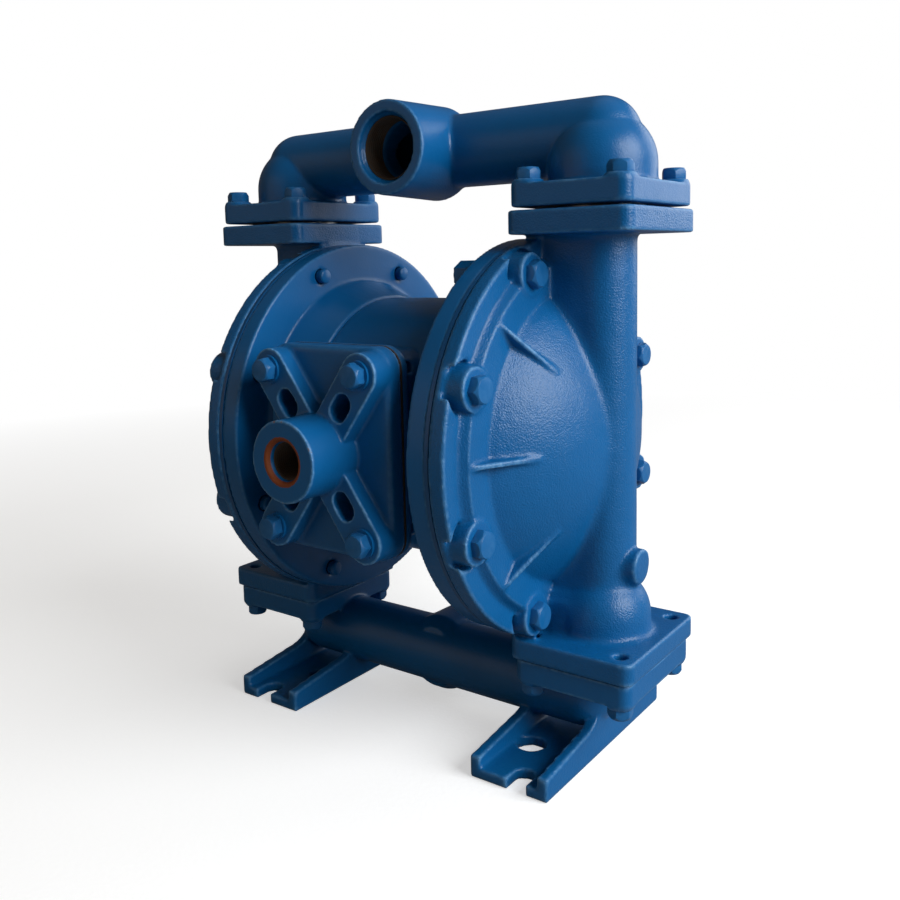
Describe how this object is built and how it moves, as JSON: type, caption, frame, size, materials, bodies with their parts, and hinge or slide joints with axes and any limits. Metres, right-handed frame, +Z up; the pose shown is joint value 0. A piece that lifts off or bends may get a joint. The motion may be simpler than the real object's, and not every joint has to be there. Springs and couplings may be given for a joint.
{
  "type": "air operated double diaphragm pump",
  "caption": "Blue painted metal air operated double diaphragm pump with domed chambers, ball check valves, front discharge port and slotted feet.",
  "frame": {"origin": "on the plane the feet stand on, midway between the air chambers and under the diaphragm rod", "axes": "+Z up, +X towards the right air chamber seen from the front, -Y towards the front with the air inlet and the discharge port"},
  "size_m": [0.3986, 0.4457, 0.4987],
  "materials": {
    "bearing_plastic": "off-white bearing plastic",
    "blue_enamel": "glossy blue enamel over cast iron, orange-peel cast skin on the outer chambers and smooth on the rims",
    "bolt_enamel": "blue enamel over steel hexagon heads",
    "diaphragm_rubber": "black moulded nitrile rubber",
    "gasket_sheet": "brown compressed fibre sheet",
    "machined_steel": "machined steel, unpainted, inside the pump",
    "muffler_plastic": "black moulded plastic",
    "seal_rubber": "black elastomer rings"
  },
  "bodies": {
    "housing": {"air_inlet_cap": "blue_enamel", "chamber_bolts_left": "bolt_enamel", "chamber_bolts_right": "bolt_enamel", "diaphragm_left": "diaphragm_rubber", "diaphragm_right": "diaphragm_rubber", "discharge_bolts": "bolt_enamel", "discharge_manifold": "blue_enamel", "discharge_seat_left": "machined_steel", "discharge_seat_right": "machined_steel", "discharge_seat_seals": "seal_rubber", "earthing_nut": "bolt_enamel", "exhaust_muffler": "muffler_plastic", "inlet_cap_bolts": "bolt_enamel", "inlet_cap_gasket": "gasket_sheet", "inlet_cap_washers": "bolt_enamel", "inner_chamber_left": "blue_enamel", "inner_chamber_right": "blue_enamel", "inner_chamber_screws": "machined_steel", "intermediate_body": "blue_enamel", "main_valve_body": "blue_enamel", "main_valve_sleeve": "machined_steel", "outer_chamber_left": "blue_enamel", "outer_chamber_right": "blue_enamel", "pilot_valve_sleeve": "machined_steel", "plunger_bushings": "bearing_plastic", "rod_bumpers": "seal_rubber", "rod_bushings": "bearing_plastic", "rod_seals": "seal_rubber", "suction_bolts": "bolt_enamel", "suction_manifold": "blue_enamel", "suction_seat_left": "machined_steel", "suction_seat_right": "machined_steel", "suction_seat_seals": "seal_rubber", "valve_body_screws": "machined_steel", "valve_end_cap_left": "blue_enamel", "valve_end_cap_right": "blue_enamel", "valve_end_cap_screws": "machined_steel", "valve_gasket": "gasket_sheet"},
    "rod_assembly": {"diaphragm_rod": "machined_steel", "inner_plate_left": "machined_steel", "inner_plate_right": "machined_steel", "outer_plate_left": "machined_steel", "outer_plate_right": "machined_steel"},
    "pilot_valve": {"pilot_spool": "machined_steel", "pilot_spool_seals": "seal_rubber"},
    "plunger_left": {"actuator_plunger_left": "machined_steel"},
    "plunger_right": {"actuator_plunger_right": "machined_steel"},
    "main_valve": {"main_spool": "machined_steel", "main_spool_seals": "seal_rubber"},
    "suction_ball_left_body": {"suction_ball_left": "diaphragm_rubber"},
    "suction_ball_right_body": {"suction_ball_right": "diaphragm_rubber"},
    "discharge_ball_left_body": {"discharge_ball_left": "diaphragm_rubber"},
    "discharge_ball_right_body": {"discharge_ball_right": "diaphragm_rubber"}
  },
  "joints": [
    {"name": "rod_slide", "type": "slide", "parent": "housing", "child": "rod_assembly", "axis": [1, 0, 0], "range_m": [-0.018, 0.018], "deforming": ["diaphragm_left", "diaphragm_right"]},
    {"name": "pilot_slide", "type": "slide", "parent": "housing", "child": "pilot_valve", "axis": [1, 0, 0], "range_m": [-0.005, 0.005]},
    {"name": "plunger_left_slide", "type": "slide", "parent": "housing", "child": "plunger_left", "axis": [1, 0, 0], "range_m": [-0.005, 0.005]},
    {"name": "plunger_right_slide", "type": "slide", "parent": "housing", "child": "plunger_right", "axis": [1, 0, 0], "range_m": [-0.005, 0.005]},
    {"name": "main_spool_slide", "type": "slide", "parent": "housing", "child": "main_valve", "axis": [1, 0, 0], "range_m": [-0.008, 0.008]},
    {"name": "suction_ball_left_lift", "type": "slide", "parent": "housing", "child": "suction_ball_left_body", "axis": [0, 0, 1], "range_m": [0, 0.011]},
    {"name": "suction_ball_right_lift", "type": "slide", "parent": "housing", "child": "suction_ball_right_body", "axis": [0, 0, 1], "range_m": [0, 0.011]},
    {"name": "discharge_ball_left_lift", "type": "slide", "parent": "housing", "child": "discharge_ball_left_body", "axis": [0, 0, 1], "range_m": [0, 0.011]},
    {"name": "discharge_ball_right_lift", "type": "slide", "parent": "housing", "child": "discharge_ball_right_body", "axis": [0, 0, 1], "range_m": [0, 0.011]}
  ],
  "couplings": [
    {"joint": "pilot_slide", "follows": "rod_slide", "ratio": 0.25},
    {"joint": "plunger_left_slide", "follows": "rod_slide", "ratio": 0.25},
    {"joint": "plunger_right_slide", "follows": "rod_slide", "ratio": 0.25}
  ]
}
